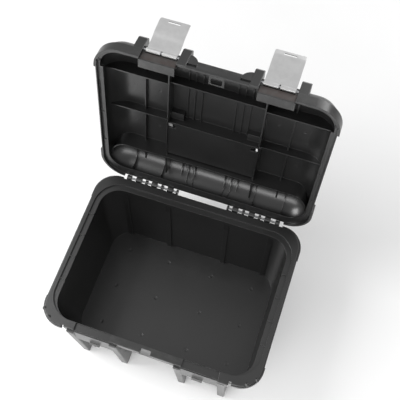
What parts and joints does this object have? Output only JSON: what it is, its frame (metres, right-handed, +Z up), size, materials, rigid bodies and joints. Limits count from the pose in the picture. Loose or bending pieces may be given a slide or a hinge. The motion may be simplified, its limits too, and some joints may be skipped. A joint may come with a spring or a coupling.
{
  "type": "toolbox",
  "caption": "Open moulded toolbox: deep ribbed tub, domed lid on rear pin hinges, two sheet-metal snap latches and a carry handle that folds into the lid.",
  "frame": {"origin": "on the floor, in the middle of the tub's left and right sides, 150 mm or so behind the front feet", "axes": "+Z up; +X to the right as the owner faces the latches; +Y towards the hinges at the back"},
  "size_m": [0.4324, 0.4929, 0.5304],
  "materials": {
    "body_plastic": "fine texture",
    "lid_plastic": "fine texture",
    "mount_plastic": "smooth",
    "latch_steel": "satin bright",
    "pin_steel": "drawn wire",
    "handle_plastic": "fine texture",
    "grip_rubber": "matt"
  },
  "bodies": {
    "tub_body": {"tub": "body_plastic", "hinge_pin_left": "pin_steel", "hinge_pin_right": "pin_steel"},
    "lid_body": {"lid": "lid_plastic", "latch_mount_left": "mount_plastic", "latch_mount_right": "mount_plastic", "latch_pin_left": "pin_steel", "latch_pin_right": "pin_steel", "handle_pin_left": "pin_steel", "handle_pin_right": "pin_steel"},
    "latch_left": {"latch_plate_left": "latch_steel"},
    "latch_right": {"latch_plate_right": "latch_steel"},
    "handle": {"handle_bar": "handle_plastic", "handle_grip": "grip_rubber"}
  },
  "joints": [
    {"name": "lid_hinge", "type": "hinge", "parent": "tub_body", "child": "lid_body", "pos_m": [0, 0.1688, 0.1932], "axis": [1, 0, 0], "range_deg": [0, 100.3]},
    {"name": "latch_left_pivot", "type": "hinge", "parent": "lid_body", "child": "latch_left", "pos_m": [-0.10165, 0.25476, 0.52193], "axis": [1, 0, 0], "range_deg": [0, 172.8]},
    {"name": "latch_right_pivot", "type": "hinge", "parent": "lid_body", "child": "latch_right", "pos_m": [0.10165, 0.25476, 0.52193], "axis": [1, 0, 0], "range_deg": [0, 172.8]},
    {"name": "handle_pivot", "type": "hinge", "parent": "lid_body", "child": "handle", "pos_m": [0, 0.23491, 0.34838], "axis": [1, 0, 0], "range_deg": [-10.3, 79.7]}
  ]
}
